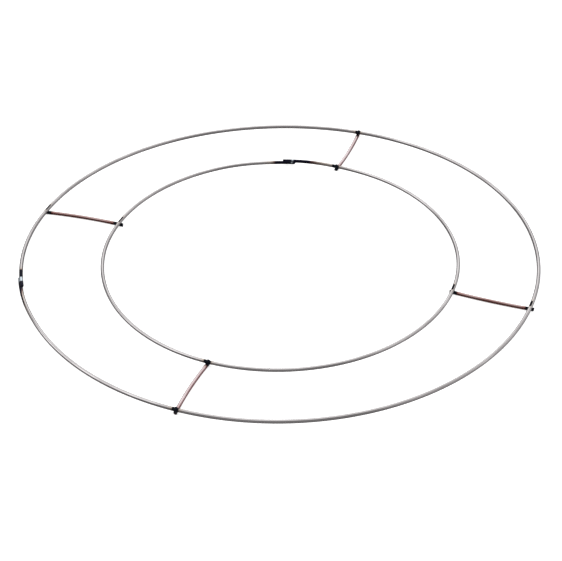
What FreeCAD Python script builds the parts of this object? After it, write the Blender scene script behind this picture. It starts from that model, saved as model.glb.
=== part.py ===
import FreeCAD, Part
import math
import os

# Wreath frame: two steel wire rings, one inside the other, tied together by four short cross
# wires. The cross wires lie under the rings and are resistance-welded to them at all eight
# crossings; each ring is closed by a short lap weld. Millimetres, +Z up.
# Origin: on the resting plane, at the common centre of the rings. +X runs out along spoke_1.

# Driving dimensions
OUTER_DIAMETER = 305.0      # over the wire of the outer ring
RING_RATIO = 0.6995         # inner ring's centre-line radius over the outer ring's
OUTER_WIRE = 2.25           # wire diameters
INNER_WIRE = 2.1
SPOKE_WIRE = 2.1
SET_DOWN = 0.35             # how far a ring is pressed into a spoke at a weld
FOOT_FLAT = 0.10            # depth that the lower electrode flattens under a crossing
SPOKE_BOW = 0.9             # sideways bow of a spoke at mid-span, clockwise seen from above
SPOKE_ARCH = 0.15           # mid-span of a spoke stands this much higher than its crossings
BEAD_RADIUS = 1.75          # weld flash squeezed out around a crossing
BEAD_HALF_HEIGHT = 0.65
LAP_TAPER = 40.0            # length of ring over which an end drifts to its place in the lap
LAP_GAP = 0.30              # weld metal between the two pressed ring ends
LAP_BEAD_RADIUS = 1.18      # weld flash in the grooves between the two ends
SHEAR_SLANT = 40.0          # degrees that a cropped ring end is off square

# Derived sizes
OUTER_RADIUS = (OUTER_DIAMETER - OUTER_WIRE) / 2
INNER_RADIUS = OUTER_RADIUS * RING_RATIO
SPOKE_HEIGHT = SPOKE_WIRE / 2 - FOOT_FLAT
RING_UNDERSIDE = SPOKE_HEIGHT + SPOKE_WIRE / 2 - SET_DOWN
BEAD_HEIGHT = RING_UNDERSIDE + SET_DOWN / 2

# Each ring is a little out of round: an oval term and a three-lobed term, in millimetres, each
# with the direction of its longest radius. "before" is the end that arrives at the lap going
# anticlockwise and "after" the end that leaves it; out and up say where the lap presses them.
OUTER_RING = {
    "radius": OUTER_RADIUS, "wire": OUTER_WIRE,
    "oval": 1.03, "oval_toward": 37.8, "lobe": 0.60, "lobe_toward": 57.2,
    "lap_from": 207.2, "lap_to": 210.4,
    "before_out": -0.20, "before_up": 0.38, "after_out": 0.48, "after_up": -0.37,
}
INNER_RING = {
    "radius": INNER_RADIUS, "wire": INNER_WIRE,
    "oval": 1.15, "oval_toward": 101.5, "lobe": 0.12, "lobe_toward": 29.4,
    "lap_from": 104.9, "lap_to": 108.4,
    "before_out": 0.62, "before_up": 0.38, "after_out": -0.14, "after_up": -0.37,
}

# Where each spoke crosses the two rings (degrees), and how far its ends run past them.
SPOKES = (
    {"outer_at": 0.6, "inner_at": 1.5, "past_outer": 1.8, "past_inner": 1.9},
    {"outer_at": 90.2, "inner_at": 90.3, "past_outer": 2.0, "past_inner": 0.8},
    {"outer_at": 179.5, "inner_at": 177.9, "past_outer": 0.7, "past_inner": 2.0},
    {"outer_at": 268.2, "inner_at": 267.9, "past_outer": 1.0, "past_inner": 2.0},
)

SPANS_PER_HALF = 12         # a half ring's centre line is this many pairs of tangent arcs
SLOPE_STEP = 0.01           # degrees, for the direction of a centre line
CUT_SIZE = 6.0              # side of the blocks that crop and notch the ring ends
UP = FreeCAD.Vector(0, 0, 1)


def bounded(value):
    return max(0.0, min(1.0, value))


def lap_middle(ring):
    return (ring["lap_from"] + ring["lap_to"]) / 2


def ring_height(ring):
    return RING_UNDERSIDE + ring["wire"] / 2


def centre_point(ring, side, angle):
    """Centre line of a half ring, where side is the end of the lap that it belongs to."""
    lap_end = ring["lap_to"] if side == "before" else ring["lap_from"]
    lap_span = ring["lap_to"] - ring["lap_from"]
    past_lap = math.radians(abs(angle - lap_end) - lap_span) * ring["radius"]
    pull = 0.5 + 0.5 * math.cos(math.pi * bounded(past_lap / LAP_TAPER))
    oval = ring["oval"] * math.cos(2 * math.radians(angle - ring["oval_toward"]))
    lobe = ring["lobe"] * math.cos(3 * math.radians(angle - ring["lobe_toward"]))
    radius = ring["radius"] + oval + lobe + pull * ring[side + "_out"]
    height = ring_height(ring) + pull * ring[side + "_up"]
    turn = math.radians(angle)
    return FreeCAD.Vector(radius * math.cos(turn), radius * math.sin(turn), height)


def centre_direction(ring, side, angle):
    ahead = centre_point(ring, side, angle + SLOPE_STEP)
    behind = centre_point(ring, side, angle - SLOPE_STEP)
    return (ahead - behind).normalize()


def tangent_arc(start, direction, end):
    """The arc that leaves start along direction and passes through end."""
    chord = end - start
    along = chord.dot(direction)
    middle_direction = chord.normalize() + direction
    middle_direction.normalize()
    half_chord = (end - start).Length / 2
    half_turn = math.acos(bounded(along / (2 * half_chord)))
    reach = half_chord / math.cos(half_turn / 2)
    return Part.Arc(start, start + middle_direction * reach, end).toShape()


def arc_pair(start, start_direction, end, end_direction):
    """Two arcs, tangent to each other, that join two points with given directions."""
    chord = end - start
    both = start_direction + end_direction
    square = 2 * (1 - start_direction.dot(end_direction))
    linear = 2 * chord.dot(both)
    reach = (-linear + math.sqrt(linear ** 2 + 4 * square * chord.dot(chord))) / (2 * square)
    first_corner = start + start_direction * reach
    second_corner = end - end_direction * reach
    joint = (first_corner + second_corner) * 0.5
    joint_direction = (second_corner - first_corner).normalize()
    return [tangent_arc(start, start_direction, joint), tangent_arc(joint, joint_direction, end)]


def rim_edge(arc, diameter):
    """The outline of a wire's section at the start of an arc, with its seam at the side."""
    direction = arc.tangentAt(arc.FirstParameter)
    circle = Part.Circle(arc.valueAt(arc.FirstParameter), direction, diameter / 2)
    circle.XAxis = direction.cross(UP)
    return circle.toShape()


def round_bar(arcs, diameter):
    """A round wire whose centre line is a chain of tangent arcs: one torus face for each."""
    rim = rim_edge(arcs[0], diameter)
    faces = [Part.Face(Part.Wire(rim))]
    for arc in arcs:
        turn = math.degrees(arc.LastParameter - arc.FirstParameter)
        faces += rim.revolve(arc.Curve.Center, arc.Curve.Axis, turn).Faces
        rim = rim.copy()
        rim.rotate(arc.Curve.Center, arc.Curve.Axis, turn)
    faces.append(Part.Face(Part.Wire(rim)))
    skin = Part.Shell(faces)
    skin.sewShape()
    bar = Part.Solid(skin)
    if bar.Volume < 0:
        bar.reverse()
    return bar


def half_ring(ring, side):
    """The half of a ring that ends in the lap, from the far side of the ring."""
    middle = lap_middle(ring)
    first = middle - 180 if side == "before" else ring["lap_from"]
    last = ring["lap_to"] if side == "before" else middle + 180
    step = (last - first) / SPANS_PER_HALF
    angles = [first + step * count for count in range(SPANS_PER_HALF + 1)]
    points = [centre_point(ring, side, angle) for angle in angles]
    directions = [centre_direction(ring, side, angle) for angle in angles]
    arcs = []
    for count in range(SPANS_PER_HALF):
        ahead = count + 1
        arcs += arc_pair(points[count], directions[count], points[ahead], directions[ahead])
    bar = round_bar(arcs, ring["wire"])
    ideal = sum(arc.Length for arc in arcs) * math.pi * (ring["wire"] / 2) ** 2
    print("half ring volume over section times length:", round(bar.Volume / ideal, 5))
    return bar


def block(centre, along, across, size):
    """A box with one edge direction along, one across, and its centre at a point."""
    third = along.cross(across)
    placing = FreeCAD.Matrix(
        along.x, across.x, third.x, centre.x,
        along.y, across.y, third.y, centre.y,
        along.z, across.z, third.z, centre.z,
        0, 0, 0, 1,
    )
    box = Part.makeBox(size[0], size[1], size[2], FreeCAD.Vector(*size) * -0.5)
    box.Placement = FreeCAD.Placement(placing)
    return box


def cropped(half, ring, side):
    """A half ring with its end in the lap sheared at a slant."""
    angle = ring["lap_to"] if side == "before" else ring["lap_from"]
    away = 1 if side == "before" else -1
    end = centre_point(ring, side, angle)
    slant = FreeCAD.Rotation(UP, SHEAR_SLANT)
    outward = slant.multVec(centre_direction(ring, side, angle) * away)
    back = ring["wire"] / 2 * math.tan(math.radians(SHEAR_SLANT))
    centre = end + outward * (CUT_SIZE / 2 - back * math.cos(math.radians(SHEAR_SLANT)))
    return half.cut(block(centre, outward, UP.cross(outward), (CUT_SIZE,) * 3))


def lap_frame(ring):
    """Middle of the lap, its direction, and the direction from the one end to the other."""
    angle = lap_middle(ring)
    before = centre_point(ring, "before", angle)
    after = centre_point(ring, "after", angle)
    along = centre_direction(ring, "before", angle)
    toward = after - before
    toward = (toward - along * toward.dot(along)).normalize()
    return (before + after) * 0.5, along, toward


def closed_ring(ring):
    """The whole ring: one wire whose two ends are pressed together, with a gap for the weld."""
    middle, along, toward = lap_frame(ring)
    length = math.radians(ring["lap_to"] - ring["lap_from"]) * ring["radius"]
    size = (length, CUT_SIZE, CUT_SIZE)
    halves = []
    for side, facing in (("before", 1), ("after", -1)):
        notch_centre = middle + toward * facing * (CUT_SIZE - LAP_GAP) / 2
        notch = block(notch_centre, along, toward, size)
        halves.append(cropped(half_ring(ring, side), ring, side).cut(notch))
    return halves[0].fuse(halves[1]).Solids[0]


def lap_weld(ring, ring_solid):
    """Weld metal between the two ends of a ring and in the grooves along them."""
    middle, along, toward = lap_frame(ring)
    length = math.radians(ring["lap_to"] - ring["lap_from"]) * ring["radius"]
    straight = length - 2 * LAP_BEAD_RADIUS
    first = middle - along * straight / 2
    bead = Part.makeCylinder(LAP_BEAD_RADIUS, straight, first, along)
    for end in (first, first + along * straight):
        bead = bead.fuse(Part.makeSphere(LAP_BEAD_RADIUS, end))
    return largest_solid(bead.cut(ring_solid))


def largest_solid(shape):
    return max(shape.Solids, key=lambda solid: solid.Volume)


def crossing(ring, angle):
    """Point on a ring's centre line, far from its lap's pull."""
    before_lap = (lap_middle(ring) - angle) % 360 < 180
    side = "before" if before_lap else "after"
    nearest = lap_middle(ring) + (angle - lap_middle(ring) + 180) % 360 - 180
    return centre_point(ring, side, nearest)


def spoke_bar(spoke):
    """A cross wire, bowed sideways and arched, with feet flattened on the resting plane."""
    outer = crossing(OUTER_RING, spoke["outer_at"])
    inner = crossing(INNER_RING, spoke["inner_at"])
    outer.z = SPOKE_HEIGHT
    inner.z = SPOKE_HEIGHT
    outward = (outer - inner).normalize()
    clockwise = outward.cross(UP)
    middle = (outer + inner) * 0.5 + clockwise * SPOKE_BOW + UP * SPOKE_ARCH
    bend = Part.Arc(inner, middle, outer).toShape()
    first = bend.FirstParameter - spoke["past_inner"] / bend.Curve.Radius
    last = bend.LastParameter + spoke["past_outer"] / bend.Curve.Radius
    bar = round_bar([bend.Curve.toShape(first, last)], SPOKE_WIRE)
    plane_block = Part.makeBox(2 * OUTER_DIAMETER, 2 * OUTER_DIAMETER, CUT_SIZE,
                               FreeCAD.Vector(-OUTER_DIAMETER, -OUTER_DIAMETER, -CUT_SIZE))
    return bar.cut(plane_block)


def crossing_bead(place):
    """A flat round bead with a full-round rim, before the wires are taken out of it."""
    rim = BEAD_RADIUS - BEAD_HALF_HEIGHT
    axis_low = FreeCAD.Vector(0, 0, -BEAD_HALF_HEIGHT)
    axis_high = FreeCAD.Vector(0, 0, BEAD_HALF_HEIGHT)
    rim_low = FreeCAD.Vector(rim, 0, -BEAD_HALF_HEIGHT)
    rim_high = FreeCAD.Vector(rim, 0, BEAD_HALF_HEIGHT)
    outline = [
        Part.LineSegment(axis_low, rim_low).toShape(),
        Part.Arc(rim_low, FreeCAD.Vector(BEAD_RADIUS, 0, 0), rim_high).toShape(),
        Part.LineSegment(rim_high, axis_high).toShape(),
        Part.LineSegment(axis_high, axis_low).toShape(),
    ]
    bead = Part.Face(Part.Wire(outline)).revolve(FreeCAD.Vector(), UP, 360)
    bead.translate(FreeCAD.Vector(place.x, place.y, BEAD_HEIGHT))
    return bead


def save(shape, name):
    solid = largest_solid(shape)
    print(name, "valid" if solid.isValid() else "NOT VALID", round(solid.Volume, 2), "mm3")
    solid.exportStep("parts/" + name + ".step")


os.makedirs("parts", exist_ok=True)

outer_ring = closed_ring(OUTER_RING)
inner_ring = closed_ring(INNER_RING)
save(outer_ring, "outer_ring")
save(inner_ring, "inner_ring")
save(lap_weld(OUTER_RING, outer_ring), "outer_ring_lap_weld")
save(lap_weld(INNER_RING, inner_ring), "inner_ring_lap_weld")

for number, spoke in enumerate(SPOKES, start=1):
    bar = spoke_bar(spoke).cut(outer_ring).cut(inner_ring)
    save(bar, "spoke_" + str(number))
    welds = (
        ("outer_weld_", OUTER_RING, "outer_at", outer_ring),
        ("inner_weld_", INNER_RING, "inner_at", inner_ring),
    )
    for name, ring, place, ring_solid in welds:
        bead = crossing_bead(crossing(ring, spoke[place]))
        save(bead.cut(ring_solid).cut(bar), name + str(number))
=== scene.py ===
import math
import random

import bmesh
import bpy
from mathutils import Matrix, Vector, noise


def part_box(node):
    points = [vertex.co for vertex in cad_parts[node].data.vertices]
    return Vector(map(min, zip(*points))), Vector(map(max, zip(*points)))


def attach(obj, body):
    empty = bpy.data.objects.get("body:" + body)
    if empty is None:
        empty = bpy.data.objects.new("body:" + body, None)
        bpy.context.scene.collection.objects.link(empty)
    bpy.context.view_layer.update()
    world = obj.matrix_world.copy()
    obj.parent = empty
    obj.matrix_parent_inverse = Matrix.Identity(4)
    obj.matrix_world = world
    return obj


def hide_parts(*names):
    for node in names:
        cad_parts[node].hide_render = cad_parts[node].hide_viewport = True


# Looks of a flat wire wreath frame: two bright drawn steel rings over four copper-washed cross
# wires, resistance-welded where they cross. Metres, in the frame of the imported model.
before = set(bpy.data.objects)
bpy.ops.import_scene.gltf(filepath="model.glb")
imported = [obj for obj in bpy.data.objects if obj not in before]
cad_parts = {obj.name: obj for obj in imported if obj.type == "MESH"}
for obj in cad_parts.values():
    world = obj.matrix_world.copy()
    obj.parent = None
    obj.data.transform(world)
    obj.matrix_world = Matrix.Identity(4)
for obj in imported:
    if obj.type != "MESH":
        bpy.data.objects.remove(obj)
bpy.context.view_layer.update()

MM = 0.001
UP = Vector((0, 0, 1))

# ---- sizes of the wires, the same as in the part's source, in metres ------------------------
OUTER_WIRE = 2.25 * MM
INNER_WIRE = 2.1 * MM
SPOKE_WIRE = 2.1 * MM
OUTER_RADIUS = (305.0 * MM - OUTER_WIRE) / 2
INNER_RADIUS = OUTER_RADIUS * 0.6995
SET_DOWN = 0.35 * MM
SPOKE_HEIGHT = SPOKE_WIRE / 2 - 0.10 * MM
RING_UNDERSIDE = SPOKE_HEIGHT + SPOKE_WIRE / 2 - SET_DOWN
SPOKE_BOW = 0.9 * MM
SPOKE_ARCH = 0.15 * MM
LAP_TAPER = 40.0 * MM

# Each ring: its slight ovalness and three-lobed shape with the direction of each, where its lap
# is, and how its two ends stand off there. lap_heat is how far the steel is black beside the lap
# and over what length its colours fade, clockwise (behind) and anticlockwise (ahead), where the
# electrode left a pale mark, painted on the lap's top as a pale colour that is partly a painted
# highlight, and which side (1 outer, -1 inner) stays dark for dark_run more.
OUTER_RING = {
    "node": "outer_ring", "radius": OUTER_RADIUS, "wire": OUTER_WIRE,
    "oval": 1.03 * MM, "oval_toward": 37.8, "lobe": 0.60 * MM, "lobe_toward": 57.2,
    "lap_from": 207.2, "lap_to": 210.4,
    "before_out": -0.20 * MM, "before_up": 0.38 * MM,
    "after_out": 0.48 * MM, "after_up": -0.37 * MM,
    "crossing": "outer_at", "weld": "outer_weld",
    "lap_heat": {
        "black_behind": 6.5 * MM, "fade_behind": 1.2 * MM,
        "black_ahead": 3.2 * MM, "fade_ahead": 5.0 * MM,
        "pale_mark_and_highlight_at": 208.0, "pale_mark_and_highlight_reach": 1.9 * MM, "mark": 1.25,
        "dark_side": 1, "dark_run": 12.0 * MM,
    },
}
INNER_RING = {
    "node": "inner_ring", "radius": INNER_RADIUS, "wire": INNER_WIRE,
    "oval": 1.15 * MM, "oval_toward": 101.5, "lobe": 0.12 * MM, "lobe_toward": 29.4,
    "lap_from": 104.9, "lap_to": 108.4,
    "before_out": 0.62 * MM, "before_up": 0.38 * MM,
    "after_out": -0.14 * MM, "after_up": -0.37 * MM,
    "crossing": "inner_at", "weld": "inner_weld",
    "lap_heat": {
        "black_behind": 7.6 * MM, "fade_behind": 8.0 * MM,
        "black_ahead": 5.0 * MM, "fade_ahead": 2.6 * MM,
        "pale_mark_and_highlight_at": 105.6, "pale_mark_and_highlight_reach": 0.4 * MM, "mark": 0.9,
        "dark_side": -1, "dark_run": 0.0,
    },
}

# Cross wires: where they pass under the rings and how far they reach past them. For each weld:
# how far black scale runs along the ring, anticlockwise (ahead) and clockwise (behind), and
# along the spoke; how much of the ring's top it covers; which side of the ring is blackened
# (1 outer, -1 inner), which at the left and right crossings is partly painted shade, the dark
# edge on the ring's left as seen by the camera; and how big the flash is.
SPOKES = (
    {"outer_at": 0.6, "inner_at": 1.5, "past_outer": 1.8 * MM, "past_inner": 1.9 * MM,
     "outer_weld": {"ahead": 3.6 * MM, "behind": 0.7 * MM, "spoke": 2.4 * MM, "over": 0.0,
                    "side": -1, "flash": 0.80},
     "inner_weld": {"ahead": 3.8 * MM, "behind": 0.6 * MM, "spoke": 2.2 * MM, "over": 0.0,
                    "side": -1, "flash": 0.75}},
    {"outer_at": 90.2, "inner_at": 90.3, "past_outer": 2.0 * MM, "past_inner": 0.8 * MM,
     "outer_weld": {"ahead": 1.2 * MM, "behind": 1.2 * MM, "spoke": 0.3 * MM, "over": 1.0,
                    "side": 1, "flash": 0.85},
     "inner_weld": {"ahead": 2.2 * MM, "behind": 1.2 * MM, "spoke": 0.5 * MM, "over": 1.0,
                    "side": 1, "flash": 0.76}},
    {"outer_at": 179.5, "inner_at": 177.9, "past_outer": 0.7 * MM, "past_inner": 2.0 * MM,
     "outer_weld": {"ahead": 0.8 * MM, "behind": 4.2 * MM, "spoke": 2.2 * MM, "over": 0.0,
                    "side": 1, "flash": 0.85},
     "inner_weld": {"ahead": 0.8 * MM, "behind": 4.0 * MM, "spoke": 3.4 * MM, "over": 0.0,
                    "side": 1, "flash": 0.80}},
    {"outer_at": 268.2, "inner_at": 267.9, "past_outer": 1.0 * MM, "past_inner": 2.0 * MM,
     "outer_weld": {"ahead": 1.5 * MM, "behind": 1.4 * MM, "spoke": 0.6 * MM, "over": 1.0,
                    "side": 1, "flash": 0.84},
     "inner_weld": {"ahead": 1.8 * MM, "behind": 1.5 * MM, "spoke": 1.2 * MM, "over": 0.75,
                    "side": 1, "flash": 0.86}},
)

# ---- how finely and how roughly the wires are made ------------------------------------------
SIDES = 28                   # facets round a wire
STATION = 0.5 * MM           # spacing of the sections along a wire
SHEAR_SLANT = math.radians(40)
SHEAR_RUN = 3.0 * MM         # length over which an end's sections lean into the slanted cut
END_BEVEL = 0.12 * MM
SPOKE_LEAN = (0.25, -0.2)    # slope of a spoke's inner and outer cut
ELECTRODE_MARK = 0.09 * MM   # depth of the flat pressed into a ring's top at a weld
ELECTRODE_REACH = 1.9 * MM
LAP_MARK = 0.14 * MM
SCALE_EDGE = 0.9 * MM        # over which black scale gives way to bare metal
RING_FADE = 1.3 * MM         # over which temper colours die away beside a crossing weld
SPOKE_FADE = 1.6 * MM
BRIGHT_SHORTER = 2.4 * MM    # how much sooner the black ends on a lap's bright side


def bounded(value):
    return max(0.0, min(1.0, value))


def ease(value):
    """Smooth step from 0 to 1."""
    value = bounded(value)
    return value * value * (3 - 2 * value)


def lap_middle(ring):
    return (ring["lap_from"] + ring["lap_to"]) / 2


def lap_end(ring, side):
    return ring["lap_to"] if side == "before" else ring["lap_from"]


def centre_point(ring, side, angle):
    """Centre line of a half ring, where side is the end of the lap that it belongs to."""
    lap_span = ring["lap_to"] - ring["lap_from"]
    past_lap = math.radians(abs(angle - lap_end(ring, side)) - lap_span) * ring["radius"]
    pull = 0.5 + 0.5 * math.cos(math.pi * bounded(past_lap / LAP_TAPER))
    oval = ring["oval"] * math.cos(2 * math.radians(angle - ring["oval_toward"]))
    lobe = ring["lobe"] * math.cos(3 * math.radians(angle - ring["lobe_toward"]))
    radius = ring["radius"] + oval + lobe + pull * ring[side + "_out"]
    height = RING_UNDERSIDE + ring["wire"] / 2 + pull * ring[side + "_up"]
    turn = math.radians(angle)
    return Vector((radius * math.cos(turn), radius * math.sin(turn), height))


def crossing(ring, angle):
    """Point where a spoke passes under a ring's centre line."""
    middle = lap_middle(ring)
    side = "before" if (middle - angle) % 360 < 180 else "after"
    return centre_point(ring, side, middle + (angle - middle + 180) % 360 - 180)


def spoke_point(spoke, distance):
    """Centre line of a spoke, by distance outward from its inner crossing."""
    inner = crossing(INNER_RING, spoke["inner_at"])
    outer = crossing(OUTER_RING, spoke["outer_at"])
    inner.z = outer.z = SPOKE_HEIGHT
    span = (outer - inner).length
    outward = (outer - inner) / span
    belly = 1 - (2 * distance / span - 1) ** 2
    clockwise = outward.cross(UP)
    return inner + outward * distance + (clockwise * SPOKE_BOW + UP * SPOKE_ARCH) * belly


def spoke_span(spoke):
    inner = crossing(INNER_RING, spoke["inner_at"])
    outer = crossing(OUTER_RING, spoke["outer_at"])
    return ((outer - inner) * Vector((1, 1, 0))).length


# ---- swept wires ----------------------------------------------------------------------------
def sweep(name, points, reach, lean, marks, heat):
    """A wire as a mesh that doesn't go below the resting plane. points is its centre line;
    reach its radius; lean the slope of its two cut ends; marks(point) how deep its top is
    flattened; heat(point, turn) its scale, temper and pale mark (partly a painted highlight)
    for a direction round it."""
    lengths = [0.0]
    for before, after in zip(points, points[1:]):
        lengths.append(lengths[-1] + (after - before).length)
    total = lengths[-1]
    last = len(points) - 1
    directions = [(points[min(k + 1, last)] - points[max(k - 1, 0)]).normalized()
                  for k in range(last + 1)]
    verts, attributes = [], []

    def section(k, scale, push):
        point, direction = points[k], directions[k]
        outward = direction.cross(UP).normalized()
        upward = outward.cross(direction)
        top = reach - marks(point)
        from_start, from_end = lengths[k], total - lengths[k]
        slope = lean[0] * bounded(1 - from_start / SHEAR_RUN)
        slope += lean[1] * bounded(1 - from_end / SHEAR_RUN)
        for side in range(SIDES):
            turn = 2 * math.pi * side / SIDES
            out, up = reach * math.cos(turn), min(reach * math.sin(turn), top)
            place = point + (outward * out + upward * up) * scale
            place += direction * (out * slope + push)
            place.z = max(place.z, 0.0)
            verts.append(place)
            grain = (math.cos(turn), math.sin(turn), lengths[k])
            attributes.append((grain, heat(point, turn)))

    inset = 1 - END_BEVEL / reach
    section(0, inset, -END_BEVEL * 0.5)
    for k in range(last + 1):
        section(k, 1.0, 0.0)
    section(last, inset, END_BEVEL * 0.5)
    rings = last + 3
    faces = []
    for ring in range(rings - 1):
        for side in range(SIDES):
            following = (side + 1) % SIDES
            low, high = ring * SIDES, (ring + 1) * SIDES
            faces.append((low + side, low + following, high + following, high + side))
    faces.append(tuple(range(SIDES))[::-1])
    faces.append(tuple((rings - 1) * SIDES + side for side in range(SIDES)))
    mesh = bpy.data.meshes.new(name)
    mesh.from_pydata([tuple(v) for v in verts], [], faces)
    mesh.polygons.foreach_set("use_smooth", [len(f) == 4 for f in faces])
    grain = mesh.attributes.new("grain", "FLOAT_VECTOR", "POINT")
    grain.data.foreach_set("vector", [x for a in attributes for x in a[0]])
    tint = mesh.attributes.new("weld_heat", "FLOAT_VECTOR", "POINT")
    tint.data.foreach_set("vector", [x for a in attributes for x in a[1]])
    fix = bmesh.new()
    fix.from_mesh(mesh)
    bmesh.ops.recalc_face_normals(fix, faces=fix.faces)
    fix.to_mesh(mesh)
    fix.free()
    piece = bpy.data.objects.new(name, mesh)
    bpy.context.scene.collection.objects.link(piece)
    return piece


def ring_points(ring, side):
    """Half a ring's centre line, from the far side of the ring to its end in the lap."""
    middle = lap_middle(ring)
    far = middle - 180 if side == "before" else middle + 180
    end = lap_end(ring, side)
    count = round(math.radians(abs(end - far)) * ring["radius"] / STATION)
    return [centre_point(ring, side, far + (end - far) * k / count) for k in range(count + 1)]


def ring_marks(ring):
    """How deep the electrodes flattened a ring's top, at its crossings and along its lap."""
    places = [crossing(ring, spoke[ring["crossing"]]) for spoke in SPOKES]
    lap = [centre_point(ring, side, lap_middle(ring)) for side in ("before", "after")]
    lap_half = math.radians(ring["lap_to"] - ring["lap_from"]) * ring["radius"] / 2

    def depth(point):
        mark = 0.0
        for place in places:
            away = ((point - place) * Vector((1, 1, 0))).length
            mark = max(mark, ELECTRODE_MARK * (1 - ease((away - ELECTRODE_REACH) / (0.8 * MM))))
        for place in lap:
            away = ((point - place) * Vector((1, 1, 0))).length
            mark = max(mark, LAP_MARK * (1 - ease((away - lap_half) / (1.5 * MM))))
        return mark

    return depth


def weld_heat(away, reach, fade):
    """Scale and temper colour at a distance from a weld that is black as far as reach."""
    past = max(0.0, away - reach)
    return 1 - ease(past / SCALE_EDGE), math.exp(-past / fade)


def ring_heat(ring, side):
    """Scale, temper and pale mark on half a ring; beside the left and right crossings the
    blackened side is partly painted shade, and the pale mark is partly a painted highlight. A
    half that runs clockwise has its outer side at the opposite turn."""
    lap = ring["lap_heat"]
    lap_half = (ring["lap_to"] - ring["lap_from"]) / 2

    def along_ring(point, angle):
        """Distance along the ring from the place at angle, positive anticlockwise."""
        azimuth = math.degrees(math.atan2(point.y, point.x))
        return math.radians((azimuth - angle + 180) % 360 - 180) * ring["radius"]

    def amounts(point, turn):
        scale = temper = 0.0
        facing_up = math.sin(turn)
        facing_out = math.cos(turn) * (1 if side == "before" else -1)
        for spoke in SPOKES:
            weld = spoke[ring["weld"]]
            ahead = along_ring(point, spoke[ring["crossing"]])
            black, tint = weld_heat(abs(ahead), weld["ahead" if ahead > 0 else "behind"],
                                    RING_FADE)
            # Partly painted shade: the blackened side beside the left and right crossings is
            # black scale and also stands in for the dark reflection along the ring's left edge
            # there.
            scale_and_painted_shade_cover = max(ease((facing_out * weld["side"] + 0.54) / 0.28), weld["over"])
            scale = max(scale, black * scale_and_painted_shade_cover)
            temper = max(temper, tint * 0.5 * scale_and_painted_shade_cover)
        from_middle = along_ring(point, lap_middle(ring))
        toward = "ahead" if from_middle > 0 else "behind"
        past = abs(from_middle) - math.radians(lap_half) * ring["radius"]
        facing = facing_out * lap["dark_side"]
        longer = lap["dark_run"] * ease((facing - 0.1) / 0.6)
        longer -= BRIGHT_SHORTER * ease(-facing / 0.4)
        past = max(0.0, past - lap["black_" + toward] - (longer if toward == "ahead" else 0))
        temper = max(temper, math.exp(-past / lap["fade_" + toward]))
        # Partly painted highlight: a pale patch on the lap's top, the electrode's mark, also
        # stands in for the lap's bright reflection.
        off_mark = abs(along_ring(point, lap["pale_mark_and_highlight_at"])) - lap["pale_mark_and_highlight_reach"]
        painted_highlight_mark = (1 - ease(off_mark / (0.9 * MM) + 0.5)) * ease((facing_up + 0.1) / 0.5)
        return scale, temper, painted_highlight_mark * lap["mark"]

    return amounts


def make_ring(ring, material):
    """The two half rings of a closed ring, joined into one mesh."""
    halves = []
    for side in ("before", "after"):
        slope = math.tan(SHEAR_SLANT) * (1 if side == "before" else -1)
        halves.append(sweep(
            ring["node"] + "_" + side, ring_points(ring, side), ring["wire"] / 2,
            (0.0, slope), ring_marks(ring), ring_heat(ring, side),
        ))
    piece = join(halves, ring["node"] + "_wire")
    piece.data.materials.append(material)
    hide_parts(ring["node"])
    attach(piece, "root")


def join(pieces, name):
    """One object of several, with their vertices and attributes kept."""
    with bpy.context.temp_override(active_object=pieces[0], selected_editable_objects=pieces):
        bpy.ops.object.join()
    pieces[0].name = name
    pieces[0].data.name = name
    return pieces[0]


def make_spoke(number, spoke, material):
    """A cross wire with sheared ends and feet flattened on the resting plane."""
    span = spoke_span(spoke)
    first, last = -spoke["past_inner"], span + spoke["past_outer"]
    count = round((last - first) / STATION)
    points = [spoke_point(spoke, first + (last - first) * k / count) for k in range(count + 1)]
    inner = crossing(INNER_RING, spoke["inner_at"])
    outer = crossing(OUTER_RING, spoke["outer_at"])
    welds = ((inner, spoke["inner_weld"]["spoke"]), (outer, spoke["outer_weld"]["spoke"]))

    def heat(point, turn):
        amounts = [weld_heat(((point - place) * Vector((1, 1, 0))).length, reach, SPOKE_FADE)
                   for place, reach in welds]
        return max(a[0] for a in amounts), max(a[1] for a in amounts), 0.0

    piece = sweep("spoke_%d_wire" % number, points, SPOKE_WIRE / 2, SPOKE_LEAN,
                  lambda point: 0.0, heat)
    piece.data.materials.append(material)
    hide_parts("spoke_%d" % number)
    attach(piece, "root")


# ---- weld flash -----------------------------------------------------------------------------
VOXEL = 0.11 * MM


def lumps(name, blobs, roughness, seed):
    """Molten-looking metal: round blobs run together, then roughened. Each blob is a centre,
    its three radii and its turn about Z."""
    gather = bmesh.new()
    for centre, radii, turn in blobs:
        shape = Matrix.Translation(centre) @ Matrix.Rotation(turn, 4, "Z")
        shape = shape @ Matrix.Diagonal((*radii, 1.0))
        bmesh.ops.create_icosphere(gather, subdivisions=3, radius=1.0, matrix=shape)
    mesh = bpy.data.meshes.new(name)
    gather.to_mesh(mesh)
    gather.free()
    piece = bpy.data.objects.new(name, mesh)
    bpy.context.scene.collection.objects.link(piece)
    remesh = piece.modifiers.new("run_together", "REMESH")
    remesh.mode = "VOXEL"
    remesh.voxel_size = VOXEL
    relax = piece.modifiers.new("relax", "SMOOTH")
    relax.factor = 0.6
    relax.iterations = 6
    bpy.context.view_layer.update()
    whole = piece.evaluated_get(bpy.context.evaluated_depsgraph_get())
    melted = bpy.data.meshes.new_from_object(whole)
    piece.modifiers.clear()
    piece.data = melted
    melted.name = name
    shift = Vector((seed * 3.1, seed * 1.7, seed * 2.3))
    for vertex in melted.vertices:
        fine = noise.noise(vertex.co / (0.55 * MM) + shift)
        coarse = noise.noise(vertex.co / (1.5 * MM) - shift)
        vertex.co += vertex.normal * roughness * (0.45 * fine + 0.55 * coarse)
        vertex.co.z = max(vertex.co.z, 0.02 * MM)
    melted.polygons.foreach_set("use_smooth", [True] * len(melted.polygons))
    return piece


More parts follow.
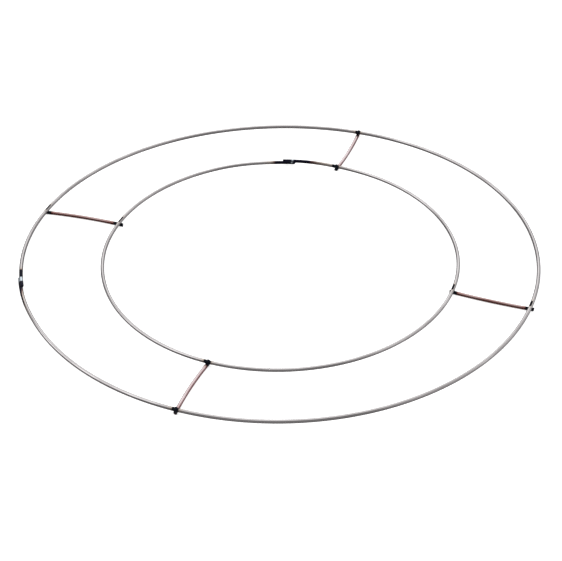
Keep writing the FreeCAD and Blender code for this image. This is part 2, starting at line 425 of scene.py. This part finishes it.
def crossing_flash(node, number, spoke, ring, material):
    """Flash squeezed out round a crossing: a low collar, thicker in the four corners between
    the wires, with a few specks of spatter on the wires beside it."""
    low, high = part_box(node)
    middle = (low + high) / 2
    weld = spoke[ring["weld"]]
    size = weld["flash"]
    seed = number + (10 if ring is OUTER_RING else 20)
    pick = random.Random(seed)
    angle = math.radians(spoke[ring["crossing"]])
    radial = Vector((math.cos(angle), math.sin(angle), 0))
    tangent = Vector((-math.sin(angle), math.cos(angle), 0))
    blobs = [(middle, (1.25 * MM * size, 1.55 * MM * size, 0.85 * MM * size), angle)]
    for corner in range(4):
        toward = math.radians(45 + 90 * corner + pick.uniform(-14, 14))
        away = pick.uniform(1.05, 1.30) * MM * size
        place = middle + (radial * math.cos(toward) * 0.8 + tangent * math.sin(toward)) * away
        place.z += pick.uniform(-0.05, 0.30) * MM
        round_size = pick.uniform(0.50, 0.72) * MM * size
        blobs.append((place, (round_size, round_size * pick.uniform(0.8, 1.1), round_size), 0.0))
    top = crossing(ring, spoke[ring["crossing"]]) + UP * ring["wire"] / 2
    if weld["over"] > 0.5:
        for side in (-1, 1):
            place = top + radial * side * pick.uniform(0.45, 0.65) * MM - UP * 0.22 * MM
            place += tangent * pick.uniform(-0.4, 0.4) * MM
            blobs.append((place, (0.55 * MM, 1.15 * MM * size, 0.42 * MM), angle))
    for _ in range(4):
        along = pick.choice((-1, 1)) * pick.uniform(1.9, 3.2) * MM
        speck = pick.uniform(0.13, 0.22) * MM
        round_wire = pick.uniform(0.2, 0.8) * math.pi
        place = top - UP * ring["wire"] / 2 + tangent * along
        place += (radial * math.cos(round_wire) + UP * math.sin(round_wire)) * ring["wire"] / 2
        blobs.append((place, (speck, speck, speck * 0.7), 0.0))
    piece = lumps(node + "_flash", blobs, 0.16 * MM, seed)
    piece.data.materials.append(material)
    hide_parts(node)
    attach(piece, "root")


def lap_flash(node, ring, material):
    """Weld metal standing in the groove between the two lapped ends of a ring."""
    angle = lap_middle(ring)
    before = centre_point(ring, "before", angle)
    after = centre_point(ring, "after", angle)
    middle = (before + after) / 2
    turn = math.radians(angle)
    along = Vector((-math.sin(turn), math.cos(turn), 0))
    across = (after - before).normalized()
    side = along.cross(across).normalized()
    half = math.radians(ring["lap_to"] - ring["lap_from"]) * ring["radius"] / 2
    pick = random.Random(7 if ring is OUTER_RING else 8)
    blobs = []
    steps = 9
    for step in range(steps):
        reach = (2 * step / (steps - 1) - 1) * (half - 0.9 * MM)
        for facing in (-1, 1):
            size = pick.uniform(0.34, 0.46) * MM
            place = middle + along * reach + side * facing * pick.uniform(0.68, 0.78) * MM
            blobs.append((place, (size * 1.2, size, size), turn + math.pi / 2))
        blobs.append((middle + along * reach, (0.6 * MM, 0.6 * MM, 0.6 * MM), 0.0))
    piece = lumps(node + "_flash", blobs, 0.10 * MM, 3)
    piece.data.materials.append(material)
    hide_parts(node)
    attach(piece, "root")


# ---- materials ------------------------------------------------------------------------------
def new_material(name):
    material = bpy.data.materials.new(name)
    material.use_nodes = True
    return material, material.node_tree, material.node_tree.nodes["Principled BSDF"]


def node(tree, kind, settings=None, **inputs):
    """A shader node, with attributes from settings and inputs by name (spaces as _)."""
    made = tree.nodes.new(kind)
    for key, value in (settings or {}).items():
        setattr(made, key, value)
    for key, value in inputs.items():
        socket = made.inputs[key.replace("_", " ")]
        if isinstance(value, bpy.types.NodeSocket):
            tree.links.new(value, socket)
        else:
            socket.default_value = value
    return made


def ramp(tree, factor, stops):
    made = node(tree, "ShaderNodeValToRGB", Fac=factor)
    points = made.color_ramp.elements
    while len(points) < len(stops):
        points.new(0.5)
    for point, (place, color) in zip(points, stops):
        point.position = place
        point.color = (*color, 1.0)
    return made.outputs["Color"]


def mix(tree, factor, low, high, data="RGBA", blend="MIX"):
    made = tree.nodes.new("ShaderNodeMix")
    made.data_type = data
    if data == "RGBA":
        made.blend_type = blend
    for name, value in (("Factor", factor), ("A", low), ("B", high)):
        socket = [s for s in made.inputs if s.name == name and s.enabled][0]
        if isinstance(value, bpy.types.NodeSocket):
            tree.links.new(value, socket)
        elif isinstance(value, tuple):
            socket.default_value = (*value, 1.0)
        else:
            socket.default_value = value
    return [s for s in made.outputs if s.name == "Result" and s.enabled][0]


def wire_material(name, bare, worn, painted_edge_shade, rough, temper_stops):
    """Drawn wire: fine lines along the wire, patches of duller metal, darker flanks that are
    painted shade standing in for dark edge reflections, temper colours and black scale where the
    welding heat reached, and a pale colour that is partly a painted highlight."""
    material, tree, shader = new_material(name)
    grain = node(tree, "ShaderNodeAttribute", {"attribute_name": "grain"}).outputs["Vector"]
    heat = node(tree, "ShaderNodeAttribute", {"attribute_name": "weld_heat"}).outputs["Vector"]
    parts = node(tree, "ShaderNodeSeparateXYZ", Vector=heat).outputs
    place = node(tree, "ShaderNodeTexCoord").outputs["Object"]
    lines_at = node(tree, "ShaderNodeMapping", Vector=grain, Scale=(9.0, 9.0, 60.0))
    lines = node(tree, "ShaderNodeTexNoise", Vector=lines_at.outputs["Vector"], Scale=1.0,
                 Detail=4.0, Roughness=0.6).outputs["Fac"]
    patches = node(tree, "ShaderNodeTexNoise", Vector=place, Scale=45.0, Detail=3.0,
                   Roughness=0.55).outputs["Fac"]
    specks = node(tree, "ShaderNodeTexNoise", Vector=place, Scale=2600.0, Detail=2.0,
                  Roughness=0.5).outputs["Fac"]
    dull = ramp(tree, patches, ((0.35, (0, 0, 0)), (0.75, (1, 1, 1))))
    metal = mix(tree, dull, bare, worn)
    metal = mix(tree, ramp(tree, lines, ((0.3, (0.35,) * 3), (0.7, (0.0,) * 3))), metal, worn)
    # Painted shade: the flanks on either side of the wire take a darker colour, standing in for
    # the dark reflections along its edges.
    across = node(tree, "ShaderNodeSeparateXYZ", Vector=grain).outputs["X"]
    sideways = node(tree, "ShaderNodeMath", {"operation": "ABSOLUTE"})
    tree.links.new(across, sideways.inputs[0])
    edge_shade_amount = node(tree, "ShaderNodeMath", {"operation": "MULTIPLY_ADD"})
    tree.links.new(patches, edge_shade_amount.inputs[0])
    edge_shade_amount.inputs[1].default_value = 0.5
    tree.links.new(sideways.outputs[0], edge_shade_amount.inputs[2])
    painted_edge_shade_mask = ramp(tree, edge_shade_amount.outputs[0], ((0.92, (0, 0, 0)), (1.08, (0.9, 0.9, 0.9))))
    metal = mix(tree, painted_edge_shade_mask, metal, painted_edge_shade)
    wander = node(tree, "ShaderNodeMath", {"operation": "MULTIPLY_ADD"})
    tree.links.new(patches, wander.inputs[0])
    wander.inputs[1].default_value = 0.7
    wander.inputs[2].default_value = 0.65
    uneven = node(tree, "ShaderNodeMath", {"operation": "MULTIPLY", "use_clamp": True})
    tree.links.new(parts["Y"], uneven.inputs[0])
    tree.links.new(wander.outputs[0], uneven.inputs[1])
    temper = ramp(tree, uneven.outputs[0], temper_stops)
    metal = mix(tree, 1.0, metal, temper, blend="MULTIPLY")
    # A pale bluish colour on the lap's top: partly the electrode's mark, partly a painted
    # highlight standing in for the lap's bright reflection.
    mark = node(tree, "ShaderNodeMath", {"operation": "MULTIPLY", "use_clamp": True})
    tree.links.new(parts["Z"], mark.inputs[0])
    tree.links.new(wander.outputs[0], mark.inputs[1])
    metal = mix(tree, mark.outputs[0], metal, (0.62, 0.70, 0.76))
    scale_edge = node(tree, "ShaderNodeMath", {"operation": "MULTIPLY", "use_clamp": True})
    tree.links.new(parts["X"], scale_edge.inputs[0])
    tree.links.new(wander.outputs[0], scale_edge.inputs[1])
    black = ramp(tree, scale_edge.outputs[0], ((0.3, (0, 0, 0)), (0.62, (1, 1, 1))))
    color = mix(tree, black, metal, (0.005, 0.006, 0.010))
    tree.links.new(color, shader.inputs["Base Color"])
    bare_metal = node(tree, "ShaderNodeMath", {"operation": "MULTIPLY_ADD"})
    tree.links.new(black, bare_metal.inputs[0])
    bare_metal.inputs[1].default_value = -0.8
    bare_metal.inputs[2].default_value = 1.0
    tree.links.new(bare_metal.outputs[0], shader.inputs["Metallic"])
    gloss = mix(tree, dull, rough[0], rough[1], data="FLOAT")
    gloss = mix(tree, black, gloss, 0.55, data="FLOAT")
    tree.links.new(gloss, shader.inputs["Roughness"])
    tree.links.new(mix(tree, black, 0.25, 0.04, data="FLOAT"),
                   shader.inputs["Specular IOR Level"])
    ridges = node(tree, "ShaderNodeBump", Strength=0.25, Distance=0.00002, Height=lines)
    pits = node(tree, "ShaderNodeBump", Strength=0.3, Distance=0.00002, Height=specks,
                Normal=ridges.outputs["Normal"])
    tree.links.new(pits.outputs["Normal"], shader.inputs["Normal"])
    return material


def weld_material():
    """Black weld scale with faint blue and green films and a rough, pitted skin."""
    material, tree, shader = new_material("weld_scale")
    place = node(tree, "ShaderNodeTexCoord").outputs["Object"]
    films = node(tree, "ShaderNodeTexNoise", Vector=place, Scale=900.0, Detail=3.0,
                 Roughness=0.55).outputs["Fac"]
    pits = node(tree, "ShaderNodeTexNoise", Vector=place, Scale=5200.0, Detail=4.0,
                Roughness=0.65).outputs["Fac"]
    color = ramp(tree, films, (
        (0.28, (0.004, 0.005, 0.007)), (0.46, (0.006, 0.008, 0.022)),
        (0.58, (0.008, 0.013, 0.013)), (0.74, (0.022, 0.020, 0.022)),
    ))
    tree.links.new(color, shader.inputs["Base Color"])
    gloss = ramp(tree, pits, ((0.3, (0.30,) * 3), (0.7, (0.62,) * 3)))
    tree.links.new(gloss, shader.inputs["Roughness"])
    shader.inputs["Metallic"].default_value = 0.20
    shader.inputs["Specular IOR Level"].default_value = 0.07
    bump = node(tree, "ShaderNodeBump", Strength=0.6, Distance=0.00005, Height=pits)
    tree.links.new(bump.outputs["Normal"], shader.inputs["Normal"])
    return material


# Each wire's third colour, for its flanks, is painted shade: darker, to stand in for the dark
# reflections along the wires' edges.
BARE_RING = (0.75, 0.72, 0.725)
WORN_RING = (0.55, 0.52, 0.525)
PAINTED_EDGE_SHADE_RING = (0.30, 0.28, 0.285)
BARE_SPOKE = (0.62, 0.47, 0.46)
WORN_SPOKE = (0.38, 0.20, 0.18)
PAINTED_EDGE_SHADE_SPOKE = (0.13, 0.035, 0.03)
# Painted light: a paler copy of the spoke colours for the far and near cross wires, lighter to
# stand in for their brighter reflections.
PAINTED_LIGHTER_SPOKE = (0.96, 0.86, 0.88)
PAINTED_LIGHTER_WORN_SPOKE = (0.78, 0.60, 0.61)
PAINTED_LIGHTER_SPOKE_EDGE_SHADE = (0.20, 0.05, 0.05)
RING_TEMPER = (
    (0.00, (1.0, 1.0, 1.0)), (0.22, (0.95, 0.88, 0.79)), (0.42, (0.58, 0.48, 0.42)),
    (0.60, (0.22, 0.11, 0.10)), (0.78, (0.035, 0.030, 0.06)), (1.00, (0.006, 0.008, 0.026)),
)
SPOKE_TEMPER = (
    (0.00, (1.0, 1.0, 1.0)), (0.35, (0.80, 0.62, 0.58)), (0.65, (0.34, 0.20, 0.18)),
    (1.00, (0.03, 0.03, 0.04)),
)

ring_steel = wire_material("drawn_steel_ring", BARE_RING, WORN_RING, PAINTED_EDGE_SHADE_RING, (0.12, 0.22),
                           RING_TEMPER)
spoke_steel = wire_material("copper_washed_spoke", BARE_SPOKE, WORN_SPOKE, PAINTED_EDGE_SHADE_SPOKE,
                            (0.16, 0.28), SPOKE_TEMPER)
painted_lighter_spoke_steel = wire_material("spoke_painted_lighter", PAINTED_LIGHTER_SPOKE, PAINTED_LIGHTER_WORN_SPOKE, PAINTED_LIGHTER_SPOKE_EDGE_SHADE,
                             (0.16, 0.28), SPOKE_TEMPER)
scale = weld_material()

make_ring(OUTER_RING, ring_steel)
make_ring(INNER_RING, ring_steel)
# Cross wires 2 and 4, the far and near ones, take the paler copy of the spoke material: painted
# light.
for number, spoke in enumerate(SPOKES, start=1):
    make_spoke(number, spoke, painted_lighter_spoke_steel if number in (2, 4) else spoke_steel)
    crossing_flash("outer_weld_%d" % number, number, spoke, OUTER_RING, scale)
    crossing_flash("inner_weld_%d" % number, number, spoke, INNER_RING, scale)
lap_flash("outer_ring_lap_weld", OUTER_RING, scale)
lap_flash("inner_ring_lap_weld", INNER_RING, scale)

# ---- stage, light and camera ----------------------------------------------------------------
VIEW_TURN = math.radians(20.0)       # the camera looks along +Y turned this far
VIEW_TILT = 0.6195
VIEW_ROLL = -0.0072
VIEW_DISTANCE = 7.608 * OUTER_RADIUS
AIM_RIGHT = 0.0033 * OUTER_RADIUS
AIM_UP = -0.0879 * OUTER_RADIUS
FOCAL_IN_FRAME = 3.471               # focal length over the width of the picture
SENSOR = 36.0
FLOOR_HALF = 4.0
FLOOR_GLOW = 0.66


def make_floor():
    """A white sheet that glows a little and isn't reflected in the wires."""
    mesh = bpy.data.meshes.new("floor")
    mesh.from_pydata([(-FLOOR_HALF, -FLOOR_HALF, 0), (FLOOR_HALF, -FLOOR_HALF, 0),
                      (FLOOR_HALF, FLOOR_HALF, 0), (-FLOOR_HALF, FLOOR_HALF, 0)],
                     [], [(0, 1, 2, 3)])
    floor = bpy.data.objects.new("floor", mesh)
    bpy.context.scene.collection.objects.link(floor)
    material, tree, shader = new_material("white_sweep")
    shader.inputs["Base Color"].default_value = (0.80, 0.80, 0.80, 1.0)
    shader.inputs["Roughness"].default_value = 1.0
    shader.inputs["Specular IOR Level"].default_value = 0.0
    shader.inputs["Emission Color"].default_value = (1.0, 1.0, 1.0, 1.0)
    shader.inputs["Emission Strength"].default_value = FLOOR_GLOW
    floor.data.materials.append(material)
    floor.visible_glossy = False


# The studio round the frame: each soft light's direction (azimuth in degrees from the camera's
# right, elevation), the angles from it where it ends and where it is full, and how much it adds.
LIGHTS = (
    (180, 35, 40, 15, 1.2),      # softbox on the left
    (90, 80, 35, 15, 0.6),       # softbox overhead
    (0, 10, 60, 30, 0.5),        # pale wall on the right
    (90, 35, 35, 10, 0.8),       # softbox behind
    (-90, 0, 60, 20, 0.2),       # pale wall behind the camera
)
AMBIENT = 0.30


def toward(azimuth, elevation):
    """Unit direction from the frame, by azimuth from the camera's right and elevation."""
    turn = math.radians(azimuth) + VIEW_TURN
    lift = math.radians(elevation)
    return (math.cos(turn) * math.cos(lift), math.sin(turn) * math.cos(lift), math.sin(lift))


def make_world():
    """The soft lights, which the wires reflect, behind a plain white backdrop."""
    world = bpy.data.worlds.new("studio")
    bpy.context.scene.world = world
    world.use_nodes = True
    tree = world.node_tree
    direction = node(tree, "ShaderNodeTexCoord").outputs["Generated"]

    def lobe(azimuth, elevation, edge, full):
        facing = node(tree, "ShaderNodeVectorMath", {"operation": "DOT_PRODUCT"})
        tree.links.new(direction, facing.inputs[0])
        facing.inputs[1].default_value = toward(azimuth, elevation)
        soft = node(tree, "ShaderNodeMapRange", {"interpolation_type": "SMOOTHSTEP"})
        tree.links.new(facing.outputs["Value"], soft.inputs["Value"])
        soft.inputs["From Min"].default_value = math.cos(math.radians(edge))
        soft.inputs["From Max"].default_value = math.cos(math.radians(full))
        return soft.outputs["Result"]

    total = None
    for azimuth, elevation, edge, full, strength in LIGHTS:
        add = node(tree, "ShaderNodeMath", {"operation": "MULTIPLY_ADD"})
        tree.links.new(lobe(azimuth, elevation, edge, full), add.inputs[0])
        add.inputs[1].default_value = strength
        if total is None:
            add.inputs[2].default_value = AMBIENT
        else:
            tree.links.new(total, add.inputs[2])
        total = add.outputs[0]
    backdrop = tree.nodes["Background"]
    backdrop.inputs["Color"].default_value = (1.0, 1.0, 1.0, 1.0)
    seen = node(tree, "ShaderNodeLightPath").outputs["Is Camera Ray"]
    tree.links.new(mix(tree, seen, total, 1.0, data="FLOAT"), backdrop.inputs["Strength"])


def make_key():
    """One broad soft light from overhead, for the faint shadows; the wires don't reflect it."""
    light = bpy.data.lights.new("key", "SUN")
    light.energy = 0.9
    light.angle = math.radians(30)
    key = bpy.data.objects.new("key", light)
    bpy.context.scene.collection.objects.link(key)
    source = Vector(toward(110, 78))
    key.rotation_euler = source.to_track_quat("Z", "Y").to_euler()
    key.visible_glossy = False


def make_camera():
    camera_data = bpy.data.cameras.new("camera")
    camera_data.sensor_width = SENSOR
    camera_data.lens = FOCAL_IN_FRAME * SENSOR
    camera_data.clip_start = 0.01
    camera = bpy.data.objects.new("camera", camera_data)
    bpy.context.scene.collection.objects.link(camera)
    level = Vector((math.cos(VIEW_TURN), math.sin(VIEW_TURN), 0))
    ahead = Vector((-math.sin(VIEW_TURN), math.cos(VIEW_TURN), 0)) * math.cos(VIEW_TILT)
    ahead -= UP * math.sin(VIEW_TILT)
    above = level.cross(ahead)
    right = level * math.cos(VIEW_ROLL) + above * math.sin(VIEW_ROLL)
    above = above * math.cos(VIEW_ROLL) - level * math.sin(VIEW_ROLL)
    aim = right * AIM_RIGHT + above * AIM_UP + UP * (RING_UNDERSIDE + OUTER_WIRE / 2)
    turn = Matrix((right, above, -ahead)).transposed().to_4x4()
    camera.matrix_world = Matrix.Translation(aim - ahead * VIEW_DISTANCE) @ turn
    bpy.context.scene.camera = camera


make_floor()
make_world()
make_key()
make_camera()
bpy.context.scene.view_settings.view_transform = "Standard"
